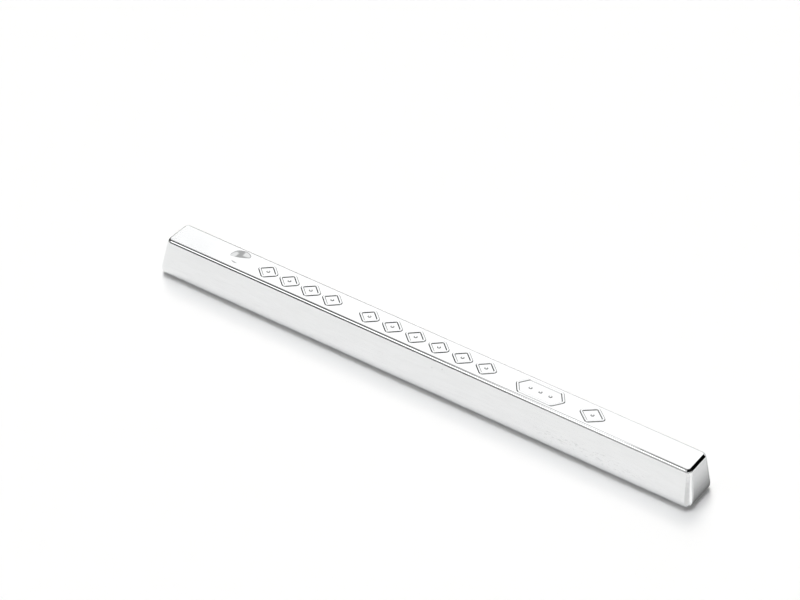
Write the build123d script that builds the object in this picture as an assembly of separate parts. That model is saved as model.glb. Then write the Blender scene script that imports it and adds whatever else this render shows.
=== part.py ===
from build123d import *
import math
import os

# A solder bar as it comes out of an open gravity mould, lying on its wide face.
# Origin at the middle of the floor face, +X along the bar, +Z up, the dish at the -X end.

# The mould cavity: the bar's wide face is the open mouth of the mould, the narrow one its floor
mouth_length = 314.0
mouth_width = 25.5
bar_height = 21.4
draft_angle = 10.7

# Rounding left by the mould: its upright corners at the mouth and at the floor, and the floor's rim
mouth_corner_radius = 5.1
narrow_corner_radius = 2.9
narrow_rim_radius = 1.85

# The rim of the wide face, drawn round by the surface tension of the setting metal
meniscus_radius = 4.3

# Shallow round dish in the narrow face, a little behind the centre line, with a soft lip
dish_diameter = 10.8
dish_depth = 0.5
dish_lip_radius = 0.4
dish_from_end = 39.5
dish_off_centre = 1.0

# The draft narrows the cavity by this much on every side between its mouth and its floor
draft_offset = bar_height * math.tan(math.radians(draft_angle))
narrow_length = mouth_length - 2 * draft_offset
narrow_width = mouth_width - 2 * draft_offset


def cast_blank():
    """The drafted bar: a loft from the mouth's outline up to the floor's, with both rims rounded."""
    with BuildPart() as blank:
        with BuildSketch():
            RectangleRounded(mouth_length, mouth_width, mouth_corner_radius)
        with BuildSketch(Plane.XY.offset(bar_height)):
            RectangleRounded(narrow_length, narrow_width, narrow_corner_radius)
        loft(ruled=True)
        faces_by_height = blank.faces().filter_by(Axis.Z).sort_by(Axis.Z)
        fillet(faces_by_height[-1].edges(), narrow_rim_radius)
        fillet(faces_by_height[0].edges(), meniscus_radius)
    return blank.part


def sink_dish(bar):
    """The bar with its dish: a cap of a sphere sunk into the narrow face, then the lip softened."""
    ball_radius = (dish_diameter**2 / 4 + dish_depth**2) / (2 * dish_depth)
    dish_x = dish_from_end - narrow_length / 2
    ball_centre = Vector(dish_x, dish_off_centre, bar_height - dish_depth + ball_radius)
    dished = bar - Pos(ball_centre) * Sphere(ball_radius)
    bowl = dished.faces().filter_by(GeomType.SPHERE)[0]
    return dished.fillet(dish_lip_radius, bowl.outer_wire().edges())


solder_bar = sink_dish(cast_blank())

os.makedirs("parts", exist_ok=True)
export_step(solder_bar, "parts/solder_bar.step")
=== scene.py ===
import math

import bpy
import numpy as np
from mathutils import Matrix, Vector, noise


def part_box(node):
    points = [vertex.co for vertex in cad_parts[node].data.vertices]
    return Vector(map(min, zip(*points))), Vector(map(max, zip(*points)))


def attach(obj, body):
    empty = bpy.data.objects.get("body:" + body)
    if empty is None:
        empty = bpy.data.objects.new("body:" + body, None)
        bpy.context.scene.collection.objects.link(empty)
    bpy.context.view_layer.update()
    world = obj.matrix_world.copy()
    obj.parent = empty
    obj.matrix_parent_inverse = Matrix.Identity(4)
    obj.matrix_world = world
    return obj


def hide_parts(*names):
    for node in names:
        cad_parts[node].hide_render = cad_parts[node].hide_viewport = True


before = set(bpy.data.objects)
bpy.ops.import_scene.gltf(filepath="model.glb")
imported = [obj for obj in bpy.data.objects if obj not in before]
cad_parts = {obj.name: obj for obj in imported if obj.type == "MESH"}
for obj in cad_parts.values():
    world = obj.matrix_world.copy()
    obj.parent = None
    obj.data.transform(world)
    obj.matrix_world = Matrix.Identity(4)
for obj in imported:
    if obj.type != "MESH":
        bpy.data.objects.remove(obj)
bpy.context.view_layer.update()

# The bar
# One casting of bright tin solder, poured into an open mould. Sides and ends slope so that it drops out,
# the narrow face copies the mould's floor, and the wide face's rim was drawn round as the metal set.

bar_low, bar_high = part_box("solder_bar")
bar_height = bar_high.z
draft = math.radians(10.7)
mouth_corner_radius = 0.0051
narrow_corner_radius = 0.0029
narrow_rim_radius = 0.00185
meniscus_radius = 0.0043

# Shallow round dish in the narrow face, with a soft lip
dish_radius = 0.0054
dish_depth = 0.0005
dish_lip = 0.00006
dish_from_end = 0.0395
dish_off_centre = 0.0010

# The cooling skin is not quite flat: long low ripples, a few hundredths of a millimetre high
ripple_height = 0.000016
ripple_length = 0.016

# Each upright corner carries a painted highlight: a bright stripe at this turn from the long side and about
# this wide
highlight_turn = math.radians(60)
highlight_width = math.radians(10)

# Mesh spacing: along the bar, across it and round the dish, and steps round each edge
spacing_along = 0.0016
spacing_fine = 0.0003
steps_corner = 24
steps_rim = 18
steps_side = 10
steps_meniscus = 14


def edge_arc(centre_height, radius, start, end, steps):
    """Points (inset from the mouth, height) round an edge whose arc runs into the drafted side."""
    centre_inset = centre_height * math.tan(draft) + radius / math.cos(draft)
    angles = np.linspace(start, end, steps + 1)
    return [(centre_inset - radius * math.cos(a), centre_height + radius * math.sin(a)) for a in angles]


# The section, from the floor up: rounded rim of the wide face, drafted side, rim of the narrow face
meniscus_points = edge_arc(meniscus_radius, meniscus_radius, -math.pi / 2, draft, steps_meniscus)
rim_points = edge_arc(bar_height - narrow_rim_radius, narrow_rim_radius, draft, math.pi / 2, steps_rim)
side_heights = np.linspace(meniscus_points[-1][1], rim_points[0][1], steps_side + 1)[1:-1]
side_points = [(height * math.tan(draft), height) for height in side_heights]
section = meniscus_points + side_points + rim_points

# The mouth's outline, which the widest point of the section stands a little inside
least_inset = min(inset for inset, height in section)
mouth_half = Vector((bar_high.x + least_inset, bar_high.y + least_inset))


def core(height):
    """Half length and width of the rectangle that joins the centres of the upright corners at a height."""
    corner = mouth_corner_radius + (narrow_corner_radius - mouth_corner_radius) * height / bar_height
    return mouth_half - Vector((1, 1)) * (height * math.tan(draft) + corner)


# The flat of the narrow face, and the square patch of it round the dish
face_half = mouth_half - Vector((1, 1)) * section[-1][0]
narrow_core = core(bar_height)
dish_x = dish_from_end - mouth_half.x + bar_height * math.tan(draft)
dish_patch = face_half.y - dish_off_centre


def stretch(start, end, spacing):
    """Evenly spaced places from start up to, and without, end."""
    return list(np.linspace(start, end, max(1, round((end - start) / spacing)) + 1))[:-1]


# The mesh is a grid of columns across the bar: straight ones, and at each end those that end in the corners
straight_x = (stretch(-narrow_core.x, dish_x - dish_patch, spacing_along)
              + stretch(dish_x - dish_patch, dish_x + dish_patch, spacing_fine)
              + stretch(dish_x + dish_patch, narrow_core.x, spacing_along) + [narrow_core.x])
quarter = np.linspace(0, math.pi / 2, steps_corner + 1)[1:]
columns = [(-1.0, -a) for a in quarter[::-1]]
columns += [(x / narrow_core.x, 0.0) for x in straight_x]
columns += [(1.0, a) for a in quarter]
across_y = (stretch(-face_half.y, dish_off_centre - dish_patch, spacing_fine)
            + stretch(dish_off_centre - dish_patch, face_half.y, spacing_fine) + [face_half.y])
shares_y = [y / face_half.y for y in across_y]
last_i, last_j = len(columns) - 1, len(shares_y) - 1


def plan_place(i, j, inset, height):
    """Where a grid place lies in plan when the grid is fitted to the outline at a height."""
    middle = core(height)
    reach = mouth_half.y - inset - middle.y
    share, turn = columns[i]
    return share * middle.x + reach * math.sin(turn), (middle.y + reach * math.cos(turn)) * shares_y[j]


def rounded_about_dish(x, y):
    """A grid point of the narrow face, drawn on to circles round the dish so that its lip is round."""
    u, v = (x - dish_x) / dish_patch, (y - dish_off_centre) / dish_patch
    square = max(abs(u), abs(v))
    if square >= 1 or square == 0:
        return x, y
    circle = square / math.hypot(u, v)
    keep_square = max(0.0, (square - lip_share) / (1 - lip_share))
    pull = circle + (1 - circle) * keep_square
    return dish_x + u * pull * dish_patch, dish_off_centre + v * pull * dish_patch


lip_share = 0.5 * (1 + dish_radius / dish_patch)
ball_radius = (dish_radius**2 + dish_depth**2) / (2 * dish_depth)


def dished_height(x, y):
    """Height of the narrow face: level, and sunk to a cap of a ball inside the dish's soft lip."""
    away = math.hypot(x - dish_x, y - dish_off_centre)
    if away > dish_patch:
        return bar_height
    sunk = math.sqrt(ball_radius**2 - away**2) - (ball_radius - dish_depth)
    return bar_height - 0.5 * (sunk + math.hypot(sunk, dish_lip)) + lip_rest * (away / dish_patch)**8


rest_sunk = math.sqrt(ball_radius**2 - dish_patch**2) - (ball_radius - dish_depth)
lip_rest = 0.5 * (rest_sunk + math.hypot(rest_sunk, dish_lip))

# The wide face, the rings of the outline from the floor up, and the narrow face
border = [(i, 0) for i in range(last_i)] + [(last_i, j) for j in range(last_j)]
border += [(i, last_j) for i in range(last_i, 0, -1)] + [(0, j) for j in range(last_j, 0, -1)]
grid_places = [(i, j) for i in range(last_i + 1) for j in range(last_j + 1)]
points = [(*plan_place(i, j, *section[0]), 0.0) for i, j in grid_places]
narrow_start = len(points)
for i, j in grid_places:
    x, y = rounded_about_dish(*plan_place(i, j, *section[-1]))
    points.append((x, y, dished_height(x, y)))
ring_start = len(points)
ring_section = section[1:-1]
for inset, height in ring_section:
    points += [(*plan_place(i, j, inset, height), height) for i, j in border]


def grid_point(start, i, j):
    """Number of a grid place's point, in a face whose points begin at start."""
    return start + i * (last_j + 1) + j


rings = [[grid_point(0, i, j) for i, j in border]]
rings += [[ring_start + k * len(border) + s for s in range(len(border))] for k in range(len(ring_section))]
rings += [[grid_point(narrow_start, i, j) for i, j in border]]
faces = []
for i in range(last_i):
    for j in range(last_j):
        wide = [grid_point(0, i + a, j + b) for a, b in ((0, 0), (0, 1), (1, 1), (1, 0))]
        narrow = [grid_point(narrow_start, i + a, j + b) for a, b in ((0, 0), (1, 0), (1, 1), (0, 1))]
        faces += [wide, narrow]
for below, above in zip(rings[:-1], rings[1:]):
    for s in range(len(border)):
        t = (s + 1) % len(border)
        faces.append((below[s], below[t], above[t], above[s]))

bar_mesh = bpy.data.meshes.new("cast_bar")
bar_mesh.from_pydata(points, [], faces)
bar_mesh.shade_smooth()
places = np.empty(len(points) * 3, np.float32)
bar_mesh.vertices.foreach_get("co", places)
places = places.reshape(-1, 3)
outward = np.empty(len(points) * 3, np.float32)
bar_mesh.vertex_normals.foreach_get("vector", outward)
outward = outward.reshape(-1, 3)


def ripple(places):
    """Height of the cooling skin's ripples at each place."""
    return ripple_height * np.array([noise.noise(Vector(p) / ripple_length) for p in places])


# The ripples die out down the rounded rim of the wide face, so that the bar lies flat
off_floor = np.clip(places[:, 2] / meniscus_radius - 0.5, 0, 1)
rippled = places + outward * (ripple(places) * off_floor)[:, None]
bar_mesh.vertices.foreach_set("co", rippled.astype(np.float32).ravel())
bar_mesh.update()
# Painted highlight on the corner rings, strongest at the middle of each corner's stripe
from_middle = [abs(columns[i][1]) - highlight_turn for i, j in border]
highlight_weights = [0.0] * ring_start + [math.exp(-(a / highlight_width)**2) for a in from_middle] * len(ring_section)
bar_mesh.attributes.new("painted_highlight", "FLOAT", "POINT").data.foreach_set("value", highlight_weights)
bar = bpy.data.objects.new("cast_bar", bar_mesh)
bpy.context.scene.collection.objects.link(bar)


def node(tree, kind, sockets, **settings):
    """Adds a node with its settings. Each socket is given a value or linked to another node's output."""
    made = tree.nodes.new(kind)
    for name, value in settings.items():
        setattr(made, name, value)
    for name, value in sockets.items():
        if isinstance(value, bpy.types.NodeSocket):
            tree.links.new(value, made.inputs[name])
        else:
            made.inputs[name].default_value = value
    return made


def reckon(tree, operation, first, second):
    """One sum worked out on two numbers or node outputs."""
    return node(tree, "ShaderNodeMath", {0: first, 1: second}, operation=operation).outputs[0]


def rise(tree, place, start, end):
    """0 before start and 1 past end, with a smooth step between."""
    return node(tree, "ShaderNodeMapRange", {"Value": place, "From Min": start, "From Max": end},
                interpolation_type="SMOOTHSTEP").outputs["Result"]


def mottle(tree, place, scale):
    """Cloudy noise from 0 to 1, with this many features to a metre along each axis."""
    stretched = node(tree, "ShaderNodeVectorMath", {0: place, 1: scale}, operation="MULTIPLY")
    return node(tree, "ShaderNodeTexNoise", {"Vector": stretched.outputs["Vector"], "Scale": 1.0,
                                             "Detail": 2.0}).outputs["Fac"]


# Bright tin: a mirror skin on the narrow face, a satin one where the metal shrank off the mould's sides
tin_colour = (0.793, 0.80, 0.803)
bright_tin = bpy.data.materials.new("bright_tin")
bright_tin.use_nodes = True
tree = bright_tin.node_tree
tin_shader = tree.nodes["Principled BSDF"]
tin_shader.inputs["Metallic"].default_value = 1.0
spot = node(tree, "ShaderNodeTexCoord", {}).outputs["Object"]
spot_parts = node(tree, "ShaderNodeSeparateXYZ", {0: spot}).outputs
along, above = spot_parts["X"], spot_parts["Z"]
facing = node(tree, "ShaderNodeNewGeometry", {}).outputs["Normal"]
facing_parts = node(tree, "ShaderNodeSeparateXYZ", {0: facing}).outputs
face_y, face_z = facing_parts["Y"], facing_parts["Z"]
# Where the skin is, told by the way it faces: a side, the narrow face, the front side or the underside
on_side = rise(tree, face_z, 0.75, 0.45)
on_top = rise(tree, face_z, 0.80, 0.95)
on_front = rise(tree, face_y, -0.70, -0.90)
on_underside = rise(tree, face_z, -0.90, -0.99)
# Slow clouds in the shine, a fine orange peel, and a grain drawn out along the bar
cloud_scale, peel_scale, grain_scale = (45, 45, 45), (600, 600, 600), (90, 900, 900)
clouds = mottle(tree, spot, cloud_scale)
peel = mottle(tree, spot, peel_scale)
grain = mottle(tree, spot, grain_scale)
# The left end of the narrow face set last and is frosted in fine specks
frosted_from, frosted_to = -0.108, -0.140
speck_scale = (2200, 2200, 2200)
speck_start, speck_full = 0.42, 0.66
specks = rise(tree, mottle(tree, spot, speck_scale), speck_start, speck_full)
frost = reckon(tree, "MULTIPLY", rise(tree, along, frosted_from, frosted_to), on_top)
frost = reckon(tree, "MULTIPLY", frost, specks)
# Handling scuffs: short streaks low on the front side
scuffed_along = (0.066, 0.080, 0.104, 0.146)
scuffed_above = (0.0045, 0.0066, 0.0098, 0.0125)
scuff_scale = (420, 420, 1500)
scuff_start, scuff_full = 0.58, 0.66
scuffs = rise(tree, mottle(tree, spot, scuff_scale), scuff_start, scuff_full)
scuffs = reckon(tree, "MULTIPLY", scuffs, on_front)
for place, (start, full, full_end, end) in ((along, scuffed_along), (above, scuffed_above)):
    inside = reckon(tree, "MULTIPLY", rise(tree, place, start, full), rise(tree, place, end, full_end))
    scuffs = reckon(tree, "MULTIPLY", scuffs, inside)
# Two pinholes high on the front side, drawn as painted shade: dark spots on a skin that has no hollows there
pinhole_radius = 0.00022
pinhole_places = ((0.0103, 0.0162), (0.0160, 0.0176))
pinhole_shade = 0.0
for pinhole_x, pinhole_z in pinhole_places:
    centre = (pinhole_x, bar_low.y, pinhole_z)
    gap = node(tree, "ShaderNodeVectorMath", {0: spot, 1: centre}, operation="SUBTRACT")
    flat = node(tree, "ShaderNodeVectorMath", {0: gap.outputs["Vector"], 1: (1, 0, 1)}, operation="MULTIPLY")
    reach = node(tree, "ShaderNodeVectorMath", {0: flat.outputs["Vector"]}, operation="LENGTH")
    hole_shade = rise(tree, reach.outputs["Value"], 2 * pinhole_radius, 0.5 * pinhole_radius)
    pinhole_shade = reckon(tree, "MAXIMUM", pinhole_shade, reckon(tree, "MULTIPLY", hole_shade, on_front))
# Painted highlight: it brightens and smooths the stripe down each upright corner
painted_highlight = node(tree, "ShaderNodeAttribute", {}, attribute_name="painted_highlight").outputs["Fac"]
painted_highlight = reckon(tree, "MULTIPLY", painted_highlight, on_side)
# Painted shade darkens the creases at the foot of raised marks
crease_shade = node(tree, "ShaderNodeAttribute", {}, attribute_name="crease_shade").outputs["Fac"]


def blend(tree, start, *shares):
    """A start value plus each layer times its share."""
    for layer, share in shares:
        start = reckon(tree, "ADD", start, reckon(tree, "MULTIPLY", layer, share))
    return start


# Each layer's share in the tone, the roughness and the relief of the skin
clean_tone, mirror_roughness = 1.04, 0.03
satin = reckon(tree, "MULTIPLY", on_side, reckon(tree, "SUBTRACT", grain, 0.5))
tone = blend(tree, clean_tone, (clouds, -0.04), (satin, 0.10), (frost, -0.012), (scuffs, -0.16),
             (pinhole_shade, -0.35), (painted_highlight, 0.20), (crease_shade, -0.62))
tone = node(tree, "ShaderNodeVectorMath", {0: tin_colour, "Scale": tone}, operation="SCALE").outputs["Vector"]
tree.links.new(tone, tin_shader.inputs["Base Color"])
roughness = blend(tree, mirror_roughness, (clouds, 0.05), (on_side, 0.08), (frost, 0.10), (scuffs, 0.15),
                  (painted_highlight, -0.06), (on_underside, 0.30))
tree.links.new(roughness, tin_shader.inputs["Roughness"])
skin_depth = 0.000012
relief = blend(tree, 0.0, (peel, 0.4), (satin, 1.0), (frost, 0.4))
skin = node(tree, "ShaderNodeBump", {"Strength": 1.0, "Distance": skin_depth, "Height": relief})
tree.links.new(skin.outputs["Normal"], tin_shader.inputs["Normal"])
bar_mesh.materials.append(bright_tin)
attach(bar, "root")
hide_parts("solder_bar")

# The raised marks
# Plain lozenges and dots standing up from the narrow face, cast with the bar from cuts in the mould's
# floor. Each is a low soft stroke of the same bright tin.

stroke_crest = 0.0007
stroke_flank = 0.00052
stroke_height = 0.00036
stroke_corner = 0.0011
dot_crest = 0.0010
# The foot of each mark is sunk a little into the face
foot_skirt = 0.00004
foot_sink = 0.00003
steps_flank = 7
steps_turn = 8
steps_dot = 24
spacing_stroke = 0.0012

# Half length, half height and places along the bar of the two rows of lozenges
lozenge_half = Vector((0.0055, 0.0050))
lozenge_rows = [(-0.0950, 0.0131, 4), (-0.0333, 0.0137, 6)]
# The long frame with three dots, and the large lozenge past it
frame_x, frame_half, frame_shoulder = 0.066, Vector((0.0130, 0.0054)), 0.0092
frame_dots = 0.0056
large_x, large_half = 0.095, Vector((0.0066, 0.0056))

# Flank of a stroke from its crest outwards: distance, height, slope and painted crease shade, then the sunk
# skirt.
# The height falls in a smooth step. The painted crease shade is darkest two thirds of the way out, and is 1
# there.
crease_shade_gain = 6.75
fall = np.linspace(0, 1, steps_flank + 1)
flank = np.c_[fall * stroke_flank, stroke_height * (1 - fall**2 * (3 - 2 * fall)),
              -stroke_height / stroke_flank * 6 * fall * (1 - fall), crease_shade_gain * fall**2 * (1 - fall)]
flank = np.vstack([flank, (stroke_flank + foot_skirt, -foot_sink, 0, 0)])


def rounded_path(corners):
    """Places and outward directions along a closed path round corners, given anticlockwise."""
    path = []
    count = len(corners)
    for k in range(count):
        before, corner, after = corners[k - 1], corners[k], corners[(k + 1) % count]
        way_in, way_out = (corner - before).normalized(), (after - corner).normalized()
        turn = math.acos(way_in.dot(way_out))
        start = corner - way_in * stroke_corner * math.tan(turn / 2)
        centre = start + Vector((-way_in.y, way_in.x)) * stroke_corner
        for share in np.linspace(0, 1, steps_turn + 1):
            way = Matrix.Rotation(turn * share, 2) @ way_in
            outward = Vector((way.y, -way.x))
            path.append((centre + outward * stroke_corner, outward))
        run = after - corner
        straight = run.length - stroke_corner * math.tan(turn / 2)
        last = path[-1][0]
        for step in stretch(0, straight / 2, spacing_stroke)[1:]:
            path.append((last + way_out * step, outward))
    return path


mark_points, mark_normals, mark_crease_shade, mark_faces = [], [], [], []


def add_mark(path, profile):
    """Sweeps a profile like the flank round a closed path. Returns the number of its first point."""
    first = len(mark_points)
    for place, outward in path:
        for distance, height, slope, crease_shade in profile:
            spot = place + outward * distance
            mark_points.append((spot.x, spot.y, bar_height + height))
            mark_normals.append(Vector((-slope * outward.x, -slope * outward.y, 1)).normalized())
            mark_crease_shade.append(crease_shade)
    rows = len(profile)
    for k in range(len(path)):
        here, there = first + k * rows, first + (k + 1) % len(path) * rows
        mark_faces.extend((here + j, here + j + 1, there + j + 1, there + j) for j in range(rows - 1))
    return first


def add_frame(corners):
    """A raised stroke along a closed path, with its underside closed."""
    path = rounded_path(corners)
    outer = flank + (stroke_crest / 2, 0, 0, 0)
    profile = np.vstack([outer[::-1] * (-1, 1, -1, 1), outer])
    first, rows = add_mark(path, profile), len(profile)
    for k in range(len(path)):
        here, there = first + k * rows, first + (k + 1) % len(path) * rows
        mark_faces.append((here + rows - 1, here, there, there + rows - 1))


def add_dot(x, y):
    """A round raised dot with a flat crest."""
    turns = np.linspace(0, 2 * math.pi, steps_dot, endpoint=False)
    path = [(Vector((x, y)), Vector((math.cos(a), math.sin(a)))) for a in turns]
    profile = flank + (dot_crest / 2, 0, 0, 0)
    first, rows = add_mark(path, profile), len(profile)
    mark_faces.append([first + k * rows for k in range(steps_dot)])
    mark_faces.append([first + k * rows + rows - 1 for k in reversed(range(steps_dot))])


def lozenge(x, half):
    """Corners of a lozenge on the centre line, anticlockwise."""
    return [Vector((x + half.x, 0)), Vector((x, half.y)), Vector((x - half.x, 0)), Vector((x, -half.y))]


for start, pitch, count in lozenge_rows:
    for k in range(count):
        add_frame(lozenge(start + k * pitch, lozenge_half))
        add_dot(start + k * pitch, 0)
ends = [Vector((frame_x + s * frame_half.x, 0)) for s in (1, -1)]
quadrants = ((1, 1), (-1, 1), (-1, -1), (1, -1))
shoulders = [Vector((frame_x + s * frame_shoulder, t * frame_half.y)) for s, t in quadrants]
add_frame([ends[0], shoulders[0], shoulders[1], ends[1], shoulders[2], shoulders[3]])
for k in (-1, 0, 1):
    add_dot(frame_x + k * frame_dots, 0)
add_frame(lozenge(large_x, large_half))
add_dot(large_x, 0)

mark_places = np.array(mark_points)
level = mark_places * (1, 1, 0) + (0, 0, bar_height)
mark_places[:, 2] += ripple(level)
marks_mesh = bpy.data.meshes.new("raised_marks")
marks_mesh.from_pydata(mark_places.tolist(), [], mark_faces)
marks_mesh.shade_smooth()
marks_mesh.normals_split_custom_set_from_vertices(mark_normals)
marks_mesh.attributes.new("crease_shade", "FLOAT", "POINT").data.foreach_set("value", mark_crease_shade)
marks_mesh.materials.append(bright_tin)
marks = bpy.data.objects.new("raised_marks", marks_mesh)
bpy.context.scene.collection.objects.link(marks)
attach(marks, "root")

# The studio
# A tent of panels over white paper. The brightest stand behind the bar and at its front left and right,
# and the dark gaps between them draw the dark lines along the bar's edges.

floor_half = 3.0
floor_corners = [(-floor_half, -floor_half, 0), (floor_half, -floor_half, 0),
                 (floor_half, floor_half, 0), (-floor_half, floor_half, 0)]
floor_mesh = bpy.data.meshes.new("floor")
floor_mesh.from_pydata(floor_corners, [], [(0, 1, 2, 3)])
floor = bpy.data.objects.new("floor", floor_mesh)
bpy.context.scene.collection.objects.link(floor)
paper_white = 0.90
paper_roughness = 0.9
paper_glow = 0.06
paper = bpy.data.materials.new("white_paper")
paper.use_nodes = True
tree = paper.node_tree
paper_shader = tree.nodes["Principled BSDF"]
paper_shader.inputs["Base Color"].default_value = (paper_white, paper_white, paper_white, 1)
paper_shader.inputs["Roughness"].default_value = paper_roughness
paper_shader.inputs["Specular IOR Level"].default_value = 0.0
paper_shader.inputs["Emission Color"].default_value = (1, 1, 1, 1)
# The glow that the metal mirrors ends near the bar's right end and a little way behind the bar
glow_ends_towards = (0.6, 0.8, 0)
glow_full, glow_end = 0.08, 0.12
ground = node(tree, "ShaderNodeNewGeometry", {}).outputs["Position"]
away = node(tree, "ShaderNodeVectorMath", {0: ground, 1: glow_ends_towards}, operation="DOT_PRODUCT")
in_glow = rise(tree, away.outputs["Value"], glow_end, glow_full)
rays = node(tree, "ShaderNodeLightPath", {})
mirrored_glow = reckon(tree, "MULTIPLY", rays.outputs["Is Glossy Ray"], in_glow)
seen_glow = reckon(tree, "MAXIMUM", rays.outputs["Is Camera Ray"], mirrored_glow)
tree.links.new(reckon(tree, "MULTIPLY", seen_glow, paper_glow), paper_shader.inputs["Emission Strength"])
floor_mesh.materials.append(paper)

# Three cards that only the metal sees, painting shade into its reflections. A dark one that pales away from
# the bar lies beside the right end as a painted contact shadow, a grey one lies in front of its corner as
# painted shade, and a black flag hangs over the corner as a painted dark reflection.
laid_height, flag_height = 0.0002, 0.0256
pale_run = 0.018
painted_shadow_card = [(0.1510, -0.0085), (0.186, -0.0005), (0.186, 0.056), (0.166, 0.056),
             (0.1580, 0.0125), (0.1510, 0.0115)]
painted_shade_card = [(0.1535, -0.0105), (0.169, -0.0685), (0.215, -0.0265)]
painted_dark_flag = [(0.1500, -0.0062), (0.1511, -0.0089), (0.1518, -0.0109), (0.1529, -0.0142),
              (0.155, -0.0155), (0.159, -0.012), (0.163, -0.006), (0.167, 0.001), (0.166, 0.005),
              (0.161, 0.0013), (0.158, -0.0004), (0.155, -0.0016), (0.152, -0.0022), (0.1508, -0.0035)]
# Each card's name, outline and height, and its brightness beside the bar and away from it
cards = [("painted_shadow_card", painted_shadow_card, laid_height, 0.16, 0.80),
         ("painted_shade_card", painted_shade_card, laid_height, 0.76, 0.76),
         ("painted_dark_flag", painted_dark_flag, flag_height, 0.01, 0.01)]
for name, outline, card_height, near, far in cards:
    card_mesh = bpy.data.meshes.new(name)
    card_mesh.from_pydata([(x, y, card_height) for x, y in outline], [], [range(len(outline))])
    card = bpy.data.objects.new(name, card_mesh)
    card.visible_camera = card.visible_diffuse = card.visible_shadow = False
    bpy.context.scene.collection.objects.link(card)
    card_paint = bpy.data.materials.new(name)
    card_paint.use_nodes = True
    tree = card_paint.node_tree
    card_shader = tree.nodes["Principled BSDF"]
    card_shader.inputs["Base Color"].default_value = (0, 0, 0, 1)
    card_shader.inputs["Specular IOR Level"].default_value = 0.0
    card_shader.inputs["Emission Color"].default_value = (1, 1, 1, 1)
    card_place = node(tree, "ShaderNodeNewGeometry", {}).outputs["Position"]
    card_x = node(tree, "ShaderNodeSeparateXYZ", {0: card_place}).outputs["X"]
    pale = rise(tree, card_x, bar_high.x, bar_high.x + pale_run)
    tree.links.new(blend(tree, near, (pale, far - near)), card_shader.inputs["Emission Strength"])
    card_mesh.materials.append(card_paint)

# The tent is drawn in plan, as seen from straight below: its rim is 1 from the middle
world = bpy.data.worlds.new("studio")
world.use_nodes = True
tree = world.node_tree
background = tree.nodes["Background"]
sky = node(tree, "ShaderNodeTexCoord", {}).outputs["Generated"]
east, north, up = node(tree, "ShaderNodeSeparateXYZ", {0: sky}).outputs
north_east = reckon(tree, "ADD", east, north)
south_east = reckon(tree, "SUBTRACT", east, north)
# The lower edge of the panel behind the bar slants across the plan
edge_slope = 0.42
slant = reckon(tree, "SUBTRACT", north, reckon(tree, "MULTIPLY", east, edge_slope))
# A panel with this band shows in the metal only
rays = node(tree, "ShaderNodeLightPath", {})
mirrored = (rays.outputs["Is Glossy Ray"], 0.5, 0.1, 1.5, 0.1)


def lay_panel(under, brightness, bands):
    """Lays a panel over the tent. Each band is a direction with two limits, each followed by its softness."""
    cover = 1.0
    for way, low, low_soft, high, high_soft in bands:
        inside = reckon(tree, "MULTIPLY", rise(tree, way, low - low_soft, low + low_soft),
                        rise(tree, way, high + high_soft, high - high_soft))
        cover = reckon(tree, "MULTIPLY", inside, cover)
    change = reckon(tree, "MULTIPLY", cover, reckon(tree, "SUBTRACT", brightness, under))
    return reckon(tree, "ADD", under, change)


# Dark roof and pale walls, which meet at the eaves
roof, wall = 0.10, 0.60
eaves_roof, eaves_wall = 0.64, 0.52
tent = blend(tree, roof, (rise(tree, up, eaves_roof, eaves_wall), wall - roof))
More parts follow.
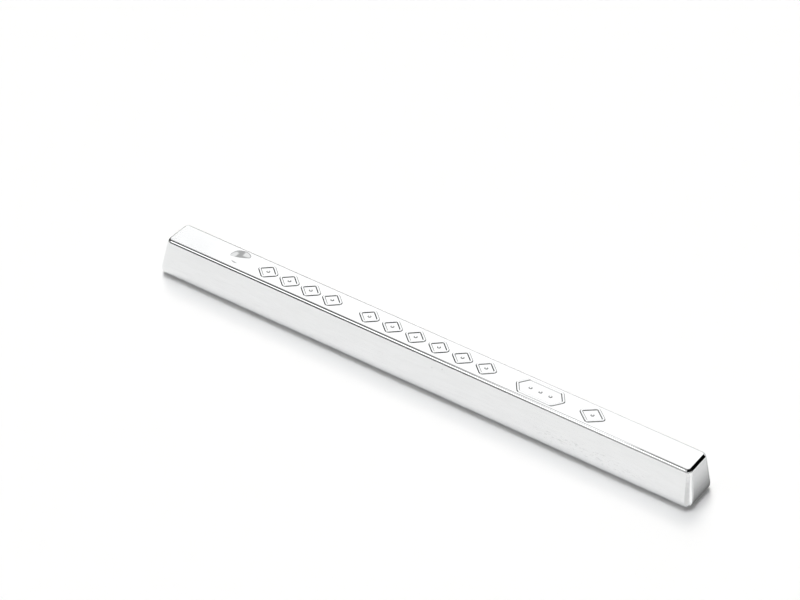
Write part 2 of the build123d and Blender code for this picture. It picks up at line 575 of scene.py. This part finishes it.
# The panels in the order they are laid, each with its brightness and its bands
black, cloth, pane = 0.03, 0.66, 1.0
panels = [
    # Unlit strip behind the right end
    (0.0, (east, -0.24, 0.03, 0.87, 0.05), (north, 0.575, 0.03, 0.795, 0.03)),
    # Dark surround of a lamp at the front right. Pale cloth lies over it on each side of a dark band that
    # runs down to the south east, and across the band overhead and at its foot. The lamp comes last.
    (0.02, (east, -0.18, 0.04, 0.95, 0.03), (north, -0.885, 0.05, 0.615, 0.03)),
    (cloth, (north_east, -2.0, 0.03, 0.05, 0.03), (east, -0.18, 0.04, 1.1, 0.03),
     (north, -1.1, 0.05, 0.60, 0.03), mirrored),
    (cloth, (north_east, 0.37, 0.03, 2.0, 0.03), (east, -0.18, 0.04, 1.1, 0.03),
     (north, -0.60, 0.05, 0.56, 0.03), mirrored),
    (cloth, (east, -0.18, 0.04, 0.24, 0.04), (north, -0.24, 0.04, 0.20, 0.04), mirrored),
    (cloth, (south_east, 1.12, 0.04, 2.0, 0.04), (east, 0.0, 0.04, 1.1, 0.03), mirrored),
    (2.4, (east, 0.55, 0.02, 0.74, 0.02), (north, -0.53, 0.02, -0.29, 0.02)),
    # Dark gap on the left, the dark post beyond it, a slit in the post that shows cloth, and the strip of
    # light that fades into the gap
    (black, (east, -0.84, 0.04, -0.18, 0.04), (north, -0.14, 0.04, 0.36, 0.025)),
    (0.02, (east, -1.10, 0.04, -0.63, 0.03), (north, -0.32, 0.04, 0.44, 0.04)),
    (cloth, (east, -1.10, 0.04, -0.66, 0.03), (north, -0.050, 0.01, 0.012, 0.005), mirrored),
    (1.9, (east, -0.392, 0.028, -0.341, 0.008), (north, 0.055, 0.05, 0.50, 0.03)),
    # Grey band behind the gap, with a pale pane each side of its middle
    (0.50, (east, -0.84, 0.04, -0.18, 0.04), (north, 0.375, 0.02, 0.675, 0.04)),
    (pane, (east, -0.65, 0.03, -0.47, 0.02), (north, 0.385, 0.03, 0.53, 0.02)),
    (pane, (east, -0.355, 0.015, -0.26, 0.02), (north, 0.50, 0.02, 0.70, 0.03)),
    # Dark at the left of the panel behind the bar, the panel, and the dark under it
    (0.12, (east, -0.92, 0.03, -0.70, 0.02), (north, 0.50, 0.03, 0.76, 0.03)),
    (1.32, (slant, 0.815, 0.012, 1.6, 0.05), (east, -0.705, 0.015, -0.14, 0.03),
     (north, 0.4, 0.1, 0.785, 0.02)),
    (0.04, (east, -0.80, 0.04, -0.42, 0.08), (north, 0.785, 0.02, 1.1, 0.04)),
    # Softbox at the front left, and the dark gaps behind it and under it
    (1.8, (east, -0.61, 0.03, -0.25, 0.03), (north, -0.67, 0.04, -0.15, 0.04)),
    (black, (east, -0.66, 0.04, -0.44, 0.03), (north, -0.25, 0.03, 0.20, 0.03)),
    (black, (east, -0.66, 0.04, -0.36, 0.06), (north, -1.125, 0.04, -0.705, 0.03)),
    (black, (east, -0.66, 0.04, -0.45, 0.04), (north, -1.125, 0.04, -0.63, 0.03)),
]
for brightness, *bands in panels:
    tent = lay_panel(tent, brightness, bands)
# The foot of the tent stands in its own shade, but for pale cards in front, at the right and behind
foot_shade = 0.06
foot_dark, foot_lit = 0.16, 0.28
foot = rise(tree, up, foot_dark, foot_lit)
tent = blend(tree, foot_shade, (foot, reckon(tree, "SUBTRACT", tent, foot_shade)))
front_card, right_card, back_card = 0.45, 0.55, 0.75
foot_panels = [
    (front_card, (east, -0.37, 0.05, -0.10, 0.04), (north, -1.1, 0.04, -0.74, 0.03)),
    (front_card, (east, -0.10, 0.04, 0.62, 0.04), (north, -1.1, 0.04, -0.74, 0.03), mirrored),
    (right_card, (east, 0.80, 0.04, 1.1, 0.04), (north, -0.62, 0.04, 0.20, 0.04), mirrored),
    (back_card, (east, -0.42, 0.08, -0.10, 0.05), (north, 0.80, 0.03, 1.1, 0.04)),
    (back_card, (east, -0.10, 0.05, 0.45, 0.05), (north, 0.80, 0.03, 1.1, 0.04), mirrored),
]
for brightness, *bands in foot_panels:
    tent = lay_panel(tent, brightness, bands)
# The paper sees the tent through a grey net, and the camera sees plain white
net = 0.70
tent = reckon(tree, "MULTIPLY", tent, blend(tree, net, (rays.outputs["Is Glossy Ray"], 1 - net)))
shown = reckon(tree, "MULTIPLY", rays.outputs["Is Camera Ray"], reckon(tree, "SUBTRACT", 1.0, tent))
tree.links.new(reckon(tree, "ADD", tent, shown), background.inputs["Strength"])
background.inputs["Color"].default_value = (1, 1, 1, 1)
bpy.context.scene.world = world

# One soft lamp overhead and a weaker one behind on the left, neither of which the metal mirrors. Each has
# the way towards it, its strength, its spread in degrees and its colour.
overhead = ((-0.14, 0.08, 0.98), 1.95, 32, (0.975, 0.988, 1))
behind = ((-0.37, 0.48, 0.79), 1.02, 22, (1, 0.96, 0.91))
for lamp_from, strength, spread, colour in (overhead, behind):
    light = bpy.data.lights.new("lamp", "SUN")
    light.energy = strength
    light.color = colour
    light.angle = math.radians(spread)
    lamp = bpy.data.objects.new("lamp", light)
    lamp.rotation_euler = Vector(lamp_from).to_track_quat("Z", "Y").to_euler()
    lamp.visible_glossy = False
    bpy.context.scene.collection.objects.link(lamp)

# The camera
# It stands where the photograph was taken from, as found from the outlines in it.

camera_place = (0.5794, -0.9197, 0.8870)
camera_heading = math.radians(32.908)
camera_tilt = math.radians(52.28)
camera_roll = math.radians(2.043)
film_width = 36.0
focal_length = 128.22
lens = bpy.data.cameras.new("camera")
lens.sensor_width = film_width
lens.lens = focal_length
camera = bpy.data.objects.new("camera", lens)
camera.matrix_world = (Matrix.Translation(camera_place) @ Matrix.Rotation(camera_heading, 4, "Z")
                       @ Matrix.Rotation(camera_tilt, 4, "X") @ Matrix.Rotation(camera_roll, 4, "Z"))
bpy.context.scene.collection.objects.link(camera)
bpy.context.scene.camera = camera
bpy.context.scene.view_settings.view_transform = "Standard"
